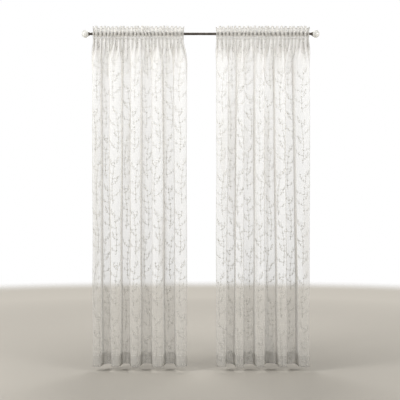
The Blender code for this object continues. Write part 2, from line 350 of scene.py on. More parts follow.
class Hanging:
    """Where each point of one panel's cloth is once it hangs, worked out row by row."""

    def __init__(self, panel, cloth):
        self.panel = panel
        self.columns = np.linspace(0.0, 1.0, COLUMNS + 1)
        self.heights = np.unique([turn.height for turn in walked(POCKET_BACK + POCKET_FRONT)])
        self.gather_size = Unevenness(panel.seed, GATHERS, 3)
        self.gather_place = Unevenness(panel.seed + 1, GATHERS, 1)
        self.gather_reach = Unevenness(panel.seed + 2, GATHERS, 1)
        self.header_lean = Unevenness(panel.seed + 3, GATHERS, 1)
        self.soft_waves = Unevenness(panel.seed + 4, 16, 5)
        self.streaks = Unevenness(panel.seed + 5, 46, 3)
        self.top_edge = Unevenness(panel.seed + 6, 2 * GATHERS, 1)
        self.slant = Unevenness(panel.seed + 7, 7, 1)
        self.crinkles = Unevenness(panel.seed + 8, 5 * GATHERS, 12)
        self.puffs = Unevenness(panel.seed + 9, 2 * GATHERS, 6)
        self.cloth = cloth
        rows = [self.row(height) for height in self.heights]
        # For each row: the middle line, the normals, and the crest, cover and painted shade of each point
        self.middle, self.out, self.gathered = (np.array(table) for table in zip(*rows))

    def row(self, height):
        """The middle line, the normals, the cover and painted shade of the row of cloth at one height."""
        columns = self.columns
        share = eased(-height, -POCKET_SEAM, -FOLDS_FULL)
        x, y = self.in_folds(height, share)
        across, outward = normals(x, y)
        amplitude = self.gather_amplitude(height)
        phase = self.gather_phase(height)
        gather = -amplitude * self.gather_scale(height) * np.cos(phase)
        push = gather + self.small_waves(height) * self.cloth.crease_depth
        loop = LOOPING * amplitude / GATHER_AT_ROD * np.sin(2.0 * phase)
        header = eased(height, HEADER_SEAM, HEADER_TOP)
        along = loop + HEADER_LEAN * header * self.header_lean.at(columns, 0.5)
        x = x + across * push + outward * along
        y = y + outward * push - across * along
        across, outward = normals(x, y)
        crest = 0.5 + 0.5 * np.cos(phase)
        behind = eased(y, *CHANNEL_DEPTHS) * share
        bunched = self.cover(height, amplitude, crest)
        shaded = self.shade(height, amplitude, crest, behind)
        return np.stack((x, y)), np.stack((across, outward)), np.stack((crest, bunched, shaded))

    def in_folds(self, height, share):
        """The row's X and Y, straight along the rod at share 0 and in the wide folds at share 1."""
        panel = self.panel
        columns = self.columns
        drift = sum(swayed(sway, panel, columns) for sway in SPACING_SWAYS)
        lengths = columns + drift * np.sin(math.pi * columns)
        section_x, section_y, run = fold_section(panel, height, fold_rounding(panel, height))
        folded_x = np.interp(lengths, run / run[-1], section_x)
        folded_y = np.interp(lengths, run / run[-1], section_y)
        straight = panel.rod_left + (panel.rod_right - panel.rod_left) * lengths
        return straight + (folded_x - straight) * share, folded_y * share

    def gather_amplitude(self, height):
        """How far the gathers go, of which some run further down than others."""
        stretch = 1.0 - self.cloth.crease_variation * self.gather_reach.at(self.columns, 0.5)
        below = min(height - POCKET_SEAM, 0.0)
        return at_height(GATHER_AMPLITUDES, height - below + below * stretch)

    def gather_scale(self, height):
        """How large each gather is beside the others."""
        size = 1.0 + swayed(SIZE_SWAY, self.panel, self.columns)
        chance = self.gather_size.at(self.columns, np.clip(0.5 - height * 4.0, 0.0, 1.0))
        size = size + at_height(GATHER_UNEVENNESS, height) * chance
        if POCKET_SEAM <= height < HEADER_TOP / 2.0:
            size = np.minimum(size, 1.0)
        return size

    def gather_phase(self, height):
        """Where each point is in its gather, with uneven places and slants between the fixed ends."""
        columns = self.columns
        ends = np.sin(math.pi * columns) ** 0.5
        shift = GATHER_SHIFT * self.gather_place.at(columns, 0.5)
        shift = shift + at_height(GATHER_SLANTS, height) * self.slant.at(columns, 0.5)
        return FULL_TURN * (GATHERS * columns + shift * ends)

    def small_waves(self, height):
        """Soft waves and fine streaks in the fall, and crumples and puffs near the rod."""
        columns = self.columns
        low = how_low(height)
        near_rod = np.clip((HEADER_TOP - height) / CRUMPLED_LENGTH, 0.0, 1.0)
        puff = at_height(PUFFS, height) + HEADER_PUFF * eased(height, HEADER_SEAM, HEADER_TOP)
        return (
            SOFT_WAVE * self.soft_waves.at(columns, low) * eased(-height, *SOFT_WAVES_BELOW)
            + FINE_STREAK * self.streaks.at(columns, low) * eased(-height, *FINE_STREAKS_BELOW)
            + at_height(CRUMPLES, height) * self.crinkles.at(columns, near_rod)
            + puff * self.puffs.at(columns, near_rod)
        )

    def cover(self, height, amplitude, crest):
        """How much closer the yarns seem than in the flat cloth."""
        in_pocket = in_the_pocket(height)
        doubled = HEADER_COVER * above_rod(height) * (0.15 + 0.85 * crest**0.7)
        doubled = doubled + OVER_ROD_COVER * over_rod(height) * crest**0.3
        gathered = in_pocket * doubled + (1.0 - in_pocket) * one_layer(crest)
        bunched = amplitude / FULL_GATHER * gathered + RIM_COVER * at_rim(height)
        bunched = bunched * (SIDE_COVER + (1.0 - SIDE_COVER) * from_sides(self.columns, SIDE_WIDTH))
        pleated = np.clip(self.streaks.at(self.columns, how_low(height)) - 0.4, 0.0, 1.0)
        return bunched + PLEAT_COVER * pleated * eased(-height, *SOFT_WAVES_BELOW)

    def shade(self, height, amplitude, crest, behind):
        """Painted shade that darkens the colour in the gathers, header, rod valleys, channels and hem."""
        valley = 1.0 - crest
        fading = 0.75 + 0.50 * eased(height, -0.150, -0.060) + 0.20 * eased(height, -0.075, -0.040)
        shaded = fading * amplitude / FULL_GATHER * (1.0 - in_the_pocket(height)) * one_layer(crest)
        header = HEADER_SHADE + VALLEY_SHADE * valley + RIM_SHADE * at_rim(height)
        shaded = shaded + header * above_rod(height) + OVER_ROD_SHADE * over_rod(height) * valley**2.0
        shaded = shaded * (SIDE_SHADE + (1.0 - SIDE_SHADE) * from_sides(self.columns, SIDE_WIDTH))
        channel = CHANNEL_SHADE + LOW_CHANNEL_SHADE * eased(-height, *LOW_CHANNEL_BELOW)
        in_hem = eased(HEM_BOTTOM + HEM_DEPTH - height, -0.001, 0.003)
        return shaded + channel * behind + HEM_SHADE * in_hem

    def face_columns(self):
        """The columns at the middles of the wide faces, front and back, halfway down the panel."""
        sides = []
        for fold in self.panel.folds:
            sides.append((fold.left_top + fold.left_hem) / 2.0)
            sides.append((fold.right_top + fold.right_hem) / 2.0)
        faces = [(left + right) / 2.0 for left, right in zip(sides, sides[1:])]
        halfway = np.abs(self.heights - HEM_BOTTOM / 2.0).argmin()
        return np.interp(faces, self.middle[halfway, 0], self.columns)

    def sampled(self, table, column, height):
        """A value of the table between its rows and columns."""
        at_row = np.interp(height, self.heights, np.arange(len(self.heights)))
        top = np.minimum(at_row.astype(int), len(self.heights) - 2)
        down = at_row - top
        at_column = np.clip(column, 0.0, 1.0) * COLUMNS
        left = np.minimum(at_column.astype(int), COLUMNS - 1)
        right = at_column - left
        upper = table[top, :, left].T * (1.0 - right) + table[top, :, left + 1].T * right
        lower = table[top + 1, :, left].T * (1.0 - right) + table[top + 1, :, left + 1].T * right
        return upper * (1.0 - down) + lower * down

    def place(self, column, height, reach, behind):
        """Points of the hung cloth, as rows of X, Y and Z; behind is in metres away from the room."""
        x, y = self.sampled(self.middle, column, height)
        across, outward = self.sampled(self.out, column, height)
        header = eased(height, HEADER_SEAM, HEADER_TOP)
        crest = self.sampled(self.gathered, column, height)[0]
        scallop = HEADER_SCALLOP * (crest - SCALLOP_MIDDLE)
        chance = TOP_EDGE_CHANCE * self.top_edge.at(column, 0.5)
        corner = TOP_CORNER_DROP * (1.0 - from_sides(column, 0.02))
        near_hem = eased(-height, -HEM_BOTTOM - 0.4, -HEM_BOTTOM)
        lift = header * (scallop + chance - corner)
        lift = lift + HEM_EDGE_CHANCE * near_hem * self.streaks.at(column, 1.0)
        return np.stack((x + across * behind, y + outward * behind + reach, height + lift), axis=1)


def walked(turns):
    """The turns of a path with the steps between them filled in."""
    result = [turns[0]]
    for start, end in zip(turns, turns[1:]):
        for step in range(1, end.steps + 1):
            share = step / end.steps
            middle = [a + (b - a) * share for a, b in zip(start[:3], end[:3])]
            result.append(Turn(*middle, 1))
    return result


# Meshes


def finished(name, bm, surface, smooth_angle=180.0):
    """The bmesh as an object of the scene, shaded smooth up to the given angle."""
    mesh = bpy.data.meshes.new(name)
    bm.to_mesh(mesh)
    bm.free()
    mesh.shade_smooth()
    if smooth_angle < 180.0:
        mesh.set_sharp_from_angle(angle=math.radians(smooth_angle))
    mesh.materials.append(surface)
    obj = bpy.data.objects.new(name, mesh)
    bpy.context.scene.collection.objects.link(obj)
    return obj


def positions(verts):
    return np.array([vert.co for vert in verts], float).reshape(-1, 3)


def set_cloth_map(mesh, across, along):
    """The cloth's own map, in metres on the flat cut."""
    corners = np.zeros(len(mesh.loops), np.int32)
    mesh.loops.foreach_get("vertex_index", corners)
    values = np.stack((across[corners], along[corners]), axis=1)
    layer = mesh.uv_layers.new(name="Cloth")
    layer.uv.foreach_set("vector", values.astype(np.float32).ravel())


def set_point_values(mesh, name, values):
    attribute = mesh.attributes.new(name, "FLOAT", "POINT")
    attribute.data.foreach_set("value", np.asarray(values, np.float32))


def turned(profile, sides):
    """A shape turned about the X axis from (x, radius) points that start and end on the axis."""
    bm = bmesh.new()
    verts = [bm.verts.new((x, 0.0, radius)) for x, radius in profile]
    edges = [bm.edges.new(pair) for pair in zip(verts, verts[1:])]
    bmesh.ops.spin(
        bm,
        geom=verts + edges,
        cent=(0.0, 0.0, 0.0),
        axis=(1.0, 0.0, 0.0),
        angle=FULL_TURN,
        steps=sides,
        use_merge=True,
    )
    bmesh.ops.remove_doubles(bm, verts=bm.verts, dist=1e-6)
    bmesh.ops.recalc_face_normals(bm, faces=bm.faces)
    return bm


def bevel_sharp(bm, least_angle, width, segments):
    """Eases every edge that turns by more than the least angle."""
    sharp = [edge for edge in bm.edges if edge.calc_face_angle(0.0) > least_angle]
    bmesh.ops.bevel(
        bm,
        geom=sharp,
        offset=width,
        segments=segments,
        profile=0.5,
        affect="EDGES",
        material=-1,
    )


# Shader maths


def either_way(operation):
    """An operator's method for a socket and what follows it, and its reflected form for what leads."""

    def plain(self, other):
        return self.maths(operation, self, other)

    def reflected(self, other):
        return self.maths(operation, other, self)

    return plain, reflected


class Value:
    """A socket of a surface under construction that takes part in Python expressions."""

    def __init__(self, surface, socket):
        self.surface = surface
        self.socket = socket

    def maths(self, operation, *operands, **settings):
        inputs = {index: operand for index, operand in enumerate(operands)}
        return self.surface.node("ShaderNodeMath", inputs, operation=operation, **settings)

    __add__, __radd__ = either_way("ADD")
    __sub__, __rsub__ = either_way("SUBTRACT")
    __mul__, __rmul__ = either_way("MULTIPLY")
    __truediv__, __rtruediv__ = either_way("DIVIDE")
    __pow__, __rpow__ = either_way("POWER")

    def sine(self):
        return self.maths("SINE", self)

    def size(self):
        return self.maths("ABSOLUTE", self)

    def clamped(self):
        return self.maths("ADD", self, 0.0, use_clamp=True)


class Surface:
    """A material under construction, whose nodes all come from node()."""

    def __init__(self, name):
        self.material = bpy.data.materials.new(name)
        self.material.use_nodes = True
        self.tree = self.material.node_tree
        self.tree.nodes.clear()

    def node(self, kind, inputs=None, output=0, **settings):
        """A node with its settings made first, then the values and links of its sockets."""
        node = self.tree.nodes.new(kind)
        for name, setting in settings.items():
            setattr(node, name, setting)
        for name, value in (inputs or {}).items():
            if isinstance(value, Value):
                self.tree.links.new(value.socket, node.inputs[name])
            else:
                node.inputs[name].default_value = value
        return Value(self, node.outputs[output])

    def coordinates(self):
        return self.node("ShaderNodeTexCoord", output="Object")

    def attribute(self, name):
        return self.node("ShaderNodeAttribute", output="Fac", attribute_name=name)

    def split(self, vector):
        """The X and the Y of a vector."""
        x = self.node("ShaderNodeSeparateXYZ", {0: vector})
        return x, Value(self, x.socket.node.outputs[1])

    def cloth(self):
        """The cloth's own map as (across, along), in metres."""
        return self.split(self.node("ShaderNodeUVMap", uv_map="Cloth"))

    def point(self, x, y, z=0.0):
        return self.node("ShaderNodeCombineXYZ", {0: x, 1: y, 2: z})

    def noise(self, vector, scale, detail=2.0, roughness=0.5, distortion=0.0):
        names = ("Vector", "Scale", "Detail", "Roughness", "Distortion")
        values = (vector, scale, detail, roughness, distortion)
        return self.node("ShaderNodeTexNoise", dict(zip(names, values)))

    def ranged(self, value, low, high, at_low, at_high, **settings):
        """A value that goes from at_low to at_high as the given one goes from low to high."""
        inputs = {"Value": value, "From Min": low, "From Max": high, "To Min": at_low, "To Max": at_high}
        return self.node("ShaderNodeMapRange", inputs, **settings)

    def blend(self, share, first, second):
        """A colour between two colours."""
        inputs = {0: share, 6: first, 7: second}
        return self.node("ShaderNodeMix", inputs, output=2, data_type="RGBA")

    def bump(self, height, distance, strength=1.0):
        inputs = {"Height": height, "Distance": distance, "Strength": strength}
        return self.node("ShaderNodeBump", inputs)

    def principled(self, inputs):
        return self.node("ShaderNodeBsdfPrincipled", inputs)

    def mixed(self, share, first, second):
        return self.node("ShaderNodeMixShader", {0: share, 1: first, 2: second})

    def sheer(self, opacity, front, colour, lit_through):
        """The finished material of cloth that is open between its yarns and lets light through."""
        through = self.node("ShaderNodeBsdfTranslucent", {"Color": solid_colour(colour)})
        clear = self.node("ShaderNodeBsdfTransparent")
        return self.shaded(self.mixed(opacity, clear, self.mixed(lit_through, front, through)))

    def shaded(self, shader):
        """The finished material, which shows the given shader."""
        target = self.tree.nodes.new("ShaderNodeOutputMaterial")
        self.tree.links.new(shader.socket, target.inputs["Surface"])
        return self.material


def scaled(colour, share):
    return (*(part * share for part in colour[:3]), 1.0)


def solid_colour(colour):
    return scaled(colour, 1.0)


SLUBS_ACROSS = 420.0
SLUBS_ALONG = 7.0
SATIN_PITCH = 0.0008
TWIST_PITCH = 0.0007


def voile_surface(cloth):
    """Sheer plain weave: fine crossing yarns, uneven thicker ones among them, and a soft sheen."""
    s = Surface("sheer_voile")
    across, along = s.cloth()
    turned = s.attribute("turned")
    bunched = s.attribute("bunched")
    shaded = s.attribute("shaded")
    warp = (across * (FULL_TURN / cloth.weave_pitch)).sine()
    weft = (along * (FULL_TURN / cloth.weave_pitch)).sine()
    weave = warp * weft
    warp_slubs = s.noise(s.point(across * SLUBS_ACROSS, along * SLUBS_ALONG), 1.0, 3.0)
    weft_slubs = s.noise(s.point(across * SLUBS_ALONG, along * SLUBS_ACROSS, 3.0), 1.0, 3.0)
    slubs = warp_slubs + weft_slubs
    cloudy = s.noise(s.point(across, along), 6.0, 3.0)
    flank = turned**8.0
    # The shaded attribute is painted shade; it adds a little cover here and darkens the colour below
    extra = flank * cloth.flank_cover + bunched * cloth.gather_cover + shaded * 0.10
    opacity = cloth.opacity + extra + (slubs - 1.0) * 0.30 + weave * 0.05
    tint = (cloudy * 0.7 + slubs * 0.3 - 0.15).clamped()
    open_colour = s.blend(tint, scaled(cloth.cloth_colour, 0.94), solid_colour(cloth.cloth_colour))
    # Painted shade: darker in gathers, channels, rod valleys, header, rim and hem, a little on fold flanks
    depth = (shaded + flank * 0.04).clamped()
    colour = s.blend(depth, open_colour, scaled(cloth.cloth_colour, 0.60))
    relief = s.bump(weave * 0.5 + slubs, 0.0002, 0.5)
    front = s.principled(
        {
            "Base Color": colour,
            "Roughness": 0.62 + slubs * 0.16,
            "Sheen Weight": 0.25,
            "Sheen Roughness": 0.4,
            "Specular IOR Level": 0.25,
            "Normal": relief,
        },
    )
    return s.sheer(opacity.clamped(), front, cloth.cloth_colour, 0.42)


def sprig_surface(cloth):
    """The denser sprig yarn, laid in one direction like satin."""
    s = Surface("sprig_yarn")
    across, along = s.cloth()
    satin = ((along + across * 0.35) * (FULL_TURN / SATIN_PITCH)).sine()
    uneven = s.noise(s.point(across * 300.0, along * 60.0), 1.0, 3.0)
    flat = (1.0 - s.attribute("turned") ** 2.0 * 0.75) * (1.0 - s.attribute("bunched") * 0.6).clamped()
    opacity = ((cloth.sprig_opacity + (uneven - 0.5) * 0.4) * flat).clamped()
    colour = s.blend(uneven, scaled(cloth.sprig_colour, 0.92), solid_colour(cloth.sprig_colour))
    relief = s.bump(satin * 0.5 + uneven, 0.00015, 0.6)
    front = s.principled(
        {
            "Base Color": colour,
            "Roughness": 0.42 + uneven * 0.25,
            "Sheen Weight": 0.35,
            "Specular IOR Level": 0.4,
            "Normal": relief,
        },
    )
    return s.sheer(opacity, front, cloth.sprig_colour, 0.6)


def thread_surface(cloth):
    """Twisted sewing thread."""
    s = Surface("sewing_thread")
    across, along = s.cloth()
    twist = ((across + along) * (FULL_TURN / TWIST_PITCH)).sine()
    uneven = s.noise(s.coordinates(), 900.0, 2.0)
    colour = s.blend(uneven, scaled(cloth.thread_colour, 0.88), solid_colour(cloth.thread_colour))
    shader = s.principled(
        {
            "Base Color": colour,
            "Roughness": 0.50 + twist * 0.08,
            "Sheen Weight": 0.3,
            "Normal": s.bump(twist, 0.00012, 0.7),
        },
    )
    return s.shaded(shader)


DRAWN_LENGTHWISE = (14.0, 900.0, 900.0)


def metal_surface(fittings):
    """Satin dark bronze, drawn lengthwise and rubbed a little brighter in places."""
    s = Surface("dark_bronze")
    spot = s.coordinates()
    stretched = s.node("ShaderNodeVectorMath", {0: spot, 1: DRAWN_LENGTHWISE}, operation="MULTIPLY")
    drawn = s.noise(stretched, 1.0, 3.0)
    patches = s.noise(spot, 38.0, 4.0, 0.6)
    specks = s.noise(spot, 1500.0, 2.0)
    rubbed = s.ranged(patches, 0.52, 0.75, 0.0, 1.0)
    worn = (rubbed * 0.7 + drawn * 0.3 - 0.1).clamped()
    colour = s.blend(worn, solid_colour(fittings.metal_colour), solid_colour(fittings.rubbed_colour))
    shader = s.principled(
        {
            "Base Color": colour,
            "Metallic": 0.85 + worn * 0.1,
            "Roughness": 0.34 + drawn * 0.16 - worn * 0.06,
            "Normal": s.bump(drawn * 0.6 + specks * 0.4, 0.00006, 0.5),
        },
    )
    return s.shaded(shader)


def glass_surface(fittings):
    """Cloudy off-white glass under a clear polished skin, with a faint painted glow of its own colour."""
    s = Surface("cloudy_glass")
    spot = s.coordinates()
    swirl = s.noise(spot, 46.0, 4.0, 0.55, 1.2)
    veil = s.noise(spot, 160.0, 3.0, 0.6, 0.6)
    cloud = (swirl * 0.6 + veil * 0.3 + 0.15).clamped()
    colour = s.blend(cloud, solid_colour(fittings.glass_shadow_colour), solid_colour(fittings.glass_colour))
    shader = s.principled(
        {
            "Base Color": colour,
            "Roughness": 0.10 + veil * 0.12,
            "IOR": 1.5,
            "Transmission Weight": 0.22,
            # Painted light: the balls glow faintly, standing in for light that comes through the glass
            "Emission Color": colour,
            "Emission Strength": 0.22,
            "Coat Weight": 0.4,
            "Coat Roughness": 0.04,
            "Normal": s.bump(swirl, 0.0002, 0.25),
        },
    )
    return s.shaded(shader)


WHITE = (1.0, 1.0, 1.0, 1.0)
MID_GREY = (0.4, 0.4, 0.4, 1.0)
BLACK = (0.0, 0.0, 0.0, 1.0)
FLOOR_SQUARENESS = 2.6
FLOOR_FADE = 1.0


def stage_surface(stage):
    """Plain painted floor with a faint mottle, which fades out into the pale surroundings."""
    s = Surface("studio_floor")
    spot = s.coordinates()
    mottle = s.noise(spot, 3.0, 3.0)
    x, y = s.split(spot)
    distance = (x.size() ** FLOOR_SQUARENESS + y.size() ** FLOOR_SQUARENESS) ** (1.0 / FLOOR_SQUARENESS)
    fade_start = stage.floor_reach - FLOOR_FADE
    cover = s.ranged(distance, fade_start, stage.floor_reach, 1.0, 0.0, interpolation_type="SMOOTHSTEP")
    colour = s.blend(mottle * 0.04, solid_colour(stage.floor_colour), MID_GREY)
    # Painted light: the floor glows more the further out it lies, filling in light on its far part
    far = (distance * 0.36 - 0.30).clamped()
    painted_far_glow = s.blend(far, BLACK, scaled(stage.floor_colour, 0.85))
    shader = s.principled(
        {
            "Base Color": colour,
            "Roughness": 0.85 + mottle * 0.1,
            "Specular IOR Level": 0.1,
            "Emission Color": painted_far_glow,
            "Emission Strength": 1.0,
            "Alpha": cover,
        },
    )
    return s.shaded(shader)


# What a user would change


def length_prop(name, description, default, least, most):
    return bpy.props.FloatProperty(
        name=name,
        description=description,
        default=default,
        min=least,
        max=most,
        precision=4,
        subtype="DISTANCE",
        unit="LENGTH",
    )


def share_prop(name, description, default):
    return bpy.props.FloatProperty(
        name=name,
        description=description,
        default=default,
        min=0.0,
        max=1.0,
        subtype="FACTOR",
    )


def colour_prop(name, description, default):
    return bpy.props.FloatVectorProperty(
        name=name,
        description=description,
        default=default,
        min=0.0,
        max=1.0,
        size=3,
        subtype="COLOR",
    )


class CurtainCloth(bpy.types.PropertyGroup):
    """The voile, its sprigs and its sewing."""

    cloth_colour: colour_prop("Voile Colour", "Colour of the sheer cloth", (0.90, 0.885, 0.85))
    opacity: share_prop("Voile Cover", "How much of the light one layer of the cloth holds back", 0.40)
    weave_pitch: length_prop("Weave Pitch", "One yarn to the next but one", 0.0010, 0.0004, 0.004)
    flank_cover: share_prop("Fold Cover", "Extra cover where the cloth turns away into a fold", 0.45)
    gather_cover: share_prop("Gather Cover", "Extra cover where the cloth is closely gathered", 0.70)
    crease_depth: bpy.props.FloatProperty(
        name="Crease Depth",
        description="How strong the soft waves in the fall are",
        default=1.0,
        min=0.0,
        max=2.0,
    )
    crease_variation: share_prop("Gather Variation", "How unevenly the gathers run down", 0.35)
    sprig_colour: colour_prop("Sprig Colour", "Colour of the sprigs", (0.87, 0.86, 0.83))
    sprig_opacity: share_prop("Sprig Cover", "How much of the light a sprig holds back", 0.82)
    sprig_drop: length_prop("Sprig Repeat", "Height of one repeat of the sprigs", 0.320, 0.15, 0.8)
    thread_colour: colour_prop("Thread Colour", "Colour of the sewing thread", (0.95, 0.94, 0.90))
    stitch_length: length_prop("Stitch Length", "One stitch to the next", 0.0040, 0.0015, 0.008)


class CurtainFittings(bpy.types.PropertyGroup):
    """The rod and its finials."""

    metal_colour: colour_prop("Metal Colour", "Dark bronze of the rod and necks", (0.085, 0.072, 0.060))
    rubbed_colour: colour_prop("Rubbed Colour", "Where the bronze is rubbed", (0.26, 0.23, 0.20))
    # The glass colour also sets the balls' painted glow
    glass_colour: colour_prop("Glass Colour", "Cloudy glass of the balls", (0.77, 0.762, 0.73))
    glass_shadow_colour: colour_prop("Glass Depth", "Clearer places in the balls", (0.58, 0.572, 0.535))


class CurtainStage(bpy.types.PropertyGroup):
    """The floor, the lights and the camera."""

    floor_colour: colour_prop("Floor Colour", "Pale studio floor", (0.47, 0.44, 0.39))
    floor_reach: length_prop("Floor Reach", "How far out the floor has faded away", 5.4, 2.5, 8.0)
    soft_light: share_prop("Soft Light", "Strength of the light from all round", 0.31)
    camera_distance: length_prop("Camera Distance", "From the rod to the camera", 4.8, 2.0, 12.0)
    light_power: bpy.props.FloatProperty(
        name="Light Power",
        description="Power of the main soft light",
        default=150.0,
        min=0.0,
        max=1000.0,
        subtype="POWER",
        unit="POWER",
    )


# Fittings


def node_span(node):
    """The lowest and highest X of a node of the part."""
    low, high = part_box(node)
    return low.x, high.x


def kept_piece(obj, node):
    """A new piece that stands for a node of the part."""
    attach(obj, "root")
    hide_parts(node)


TURNED_SIDES = 64
ROD_EASING = 0.0005


class CURTAIN_OT_rod(bpy.types.Operator):
    """Makes the round rod with its eased ends"""

    bl_idname = "curtain.rod"
    bl_label = "Add Rod"
    bl_options = {"REGISTER", "UNDO"}

    def execute(self, context):
        fittings = context.scene.curtain_fittings
        left, right = node_span("rod")
        profile = ((left, 0.0), (left, ROD_RADIUS), (right, ROD_RADIUS), (right, 0.0))
        bm = turned(profile, TURNED_SIDES)
        bevel_sharp(bm, math.radians(60), ROD_EASING, 3)
        rod = finished("curtain_rod", bm, metal_surface(fittings), 40.0)
        kept_piece(rod, "rod")
        return {"FINISHED"}


NECK_LENGTH = 0.0137
SPIGOT_RADIUS = 0.0065
COLLAR_RADIUS = 0.0088
COLLAR_LENGTH = 0.0022
WAIST_RADIUS = 0.0068
WAIST_AT = 0.0045
RIM_RADIUS = 0.0150
RIM_WALL = 0.0008
BALL_RADIUS = 0.024
BALL_SEAT_RADIUS = 0.0112
GAP = 0.0003
FLARE_POWER = 1.4
BEAD_EASING = 0.0003


def ball_centre():
    """The middle of a ball, measured from the neck's inner end."""
    return NECK_LENGTH + GAP + math.sqrt(BALL_RADIUS**2 - BALL_SEAT_RADIUS**2)


def neck_profile():
    """Collar with a turned bead, waist, flare, rolled rim and the cup that holds the ball."""
    points = [
        (-GAP, 0.0),
        (-GAP, SPIGOT_RADIUS),
        (0.0, SPIGOT_RADIUS),
        (0.0, COLLAR_RADIUS - 0.0002),
        (0.0002, COLLAR_RADIUS),
        (COLLAR_LENGTH - BEAD_EASING, COLLAR_RADIUS),
        (COLLAR_LENGTH, COLLAR_RADIUS - 0.0004),
        (COLLAR_LENGTH + 0.0005, WAIST_RADIUS + BEAD_EASING),
        (COLLAR_LENGTH + 0.0010, WAIST_RADIUS),
    ]
    cup_radius = BALL_RADIUS + GAP
    rim_inner = RIM_RADIUS - RIM_WALL
    rim_at = ball_centre() - math.sqrt(cup_radius**2 - rim_inner**2)
    for along in np.linspace(0.0, 1.0, 15):
        x = WAIST_AT + (rim_at - WAIST_AT) * along
        points.append((x, WAIST_RADIUS + (RIM_RADIUS - WAIST_RADIUS) * along**FLARE_POWER))
    for radius in np.linspace(rim_inner, BALL_SEAT_RADIUS, 5):
        points.append((ball_centre() - math.sqrt(cup_radius**2 - radius**2), radius))
    points[-1] = (NECK_LENGTH, BALL_SEAT_RADIUS)
    points.append((NECK_LENGTH, 0.0))
    return points


def ball_profile():
    """A ball with a small flat where it sits in its neck."""
    seat = math.asin(BALL_SEAT_RADIUS / BALL_RADIUS)
    points = [(NECK_LENGTH + GAP, 0.0)]
    for angle in np.linspace(seat, math.pi, 29):
        points.append((ball_centre() - BALL_RADIUS * math.cos(angle), BALL_RADIUS * math.sin(angle)))
    points[-1] = (points[-1][0], 0.0)
    return points


class CURTAIN_OT_finials(bpy.types.Operator):
    """Makes the flared necks and the cloudy glass balls at the rod's two ends"""

    bl_idname = "curtain.finials"
    bl_label = "Add Finials"
    bl_options = {"REGISTER", "UNDO"}

    def execute(self, context):
        fittings = context.scene.curtain_fittings
        metal = metal_surface(fittings)
        glass = glass_surface(fittings)
        for side in ("left", "right"):
            neck_low, neck_high = node_span(f"finial_neck_{side}")
            if side == "right":
                place = Matrix.Translation((neck_low, 0.0, 0.0))
            else:
                place = Matrix.Translation((neck_high, 0.0, 0.0)) @ Matrix.Rotation(math.pi, 4, "Z")
            for part, profile, surface, slot in (
                ("neck", neck_profile(), metal, "rod_metal"),
                ("ball", ball_profile(), glass, "finial_glass"),
            ):
                bm = turned(profile, TURNED_SIDES)
                bmesh.ops.transform(bm, matrix=place, verts=bm.verts)
                piece = finished(f"{part}_{side}", bm, surface, 50.0)
                kept_piece(piece, f"finial_{part}_{side}")
        return {"FINISHED"}


# Cloth

HANGINGS = {}


def hanging(panel, cloth):
    """The hung shape of a panel, worked out once."""
    if panel.name not in HANGINGS:
        HANGINGS[panel.name] = Hanging(panel, cloth)
    return HANGINGS[panel.name]


def piece_name(panel, kind):
    return panel.name.replace("panel", kind)


def cloth_grid(path):
    """A flat grid with one column for each step across, side hems included, and one row for each turn."""
    across = COLUMNS + 2 * SIDE_HEM_COLUMNS
    down = len(path) - 1
    bm = bmesh.new()
    bmesh.ops.create_grid(bm, x_segments=across, y_segments=down, size=0.5)
    flat = positions(bm.verts)
    column_index = np.rint((flat[:, 0] + 0.5) * across).astype(int) - SIDE_HEM_COLUMNS
    row_index = np.rint((0.5 - flat[:, 1]) * down).astype(int)
    return bm, column_index, row_index


def sheet_points(path, hung, column_index, row_index):
    """Where each point of the grid hangs, and its place on the flat cut."""
    step = SIDE_HEM / SIDE_HEM_COLUMNS
    left = np.maximum(-column_index, 0)
    right = np.maximum(column_index - COLUMNS, 0)
    inner = np.clip(column_index, 0, COLUMNS) / COLUMNS
    column = np.where(left > 0, left * step / CLOTH_WIDTH, inner)
    column = np.where(right > 0, 1.0 - right * step / CLOTH_WIDTH, column)
    turned_in = np.minimum(left + right, 1) * LAYER
    heights, reaches, behinds = np.array([turn[:3] for turn in path])[row_index].T
    points = hung.place(column, heights, reaches, behinds * LAYER + turned_in)
    walk = [0.0]
    for start, end in zip(path, path[1:]):
        rise = end.height - start.height
        walk.append(walk[-1] + math.hypot(rise, end.reach - start.reach))
    across = inner * CLOTH_WIDTH + (right - left) * step
    return points, across, -np.array(walk)[row_index], column, heights


class CURTAIN_OT_panels(bpy.types.Operator):
    """Hangs the two sheer panels, each one thin sheet with its pocket, header and hems turned over"""

    bl_idname = "curtain.panels"
    bl_label = "Hang Panels"
    bl_options = {"REGISTER", "UNDO"}

    def execute(self, context):
        cloth = context.scene.curtain_cloth
        surface = voile_surface(cloth)
        path = walked(POCKET_BACK) + walked((POCKET_BACK[-1], *POCKET_FRONT))[1:]
        for panel in PANELS:
            hung = hanging(panel, cloth)
            bm, column_index, row_index = cloth_grid(path)
            points, across, along, column, heights = sheet_points(path, hung, column_index, row_index)
            for vert, point in zip(bm.verts, points):
                vert.co = point
            bmesh.ops.reverse_faces(bm, faces=bm.faces)
            sheet = finished(piece_name(panel, "voile"), bm, surface)
            set_cloth_map(sheet.data, across, along)
            set_cover(sheet.data, hung, column, heights)
            kept_piece(sheet, panel.name)
        return {"FINISHED"}


def set_cover(mesh, hung, column, heights):
    """How far the cloth turns away into a fold, and how closely it is gathered, at each point."""
    sides = from_sides(column, SIDE_WIDTH)
    gathers = eased(heights, -0.250, -0.080)
    turned = np.abs(hung.sampled(hung.out, column, heights)[0])
    bunched, shaded = hung.sampled(hung.gathered, column, heights)[1:]
    set_point_values(mesh, "turned", turned * (0.7 + 0.3 * sides) * (1.0 - 0.2 * gathers))
    set_point_values(mesh, "bunched", bunched)
    # shaded is the painted shade that darkens the cloth's colour
    set_point_values(mesh, "shaded", shaded)


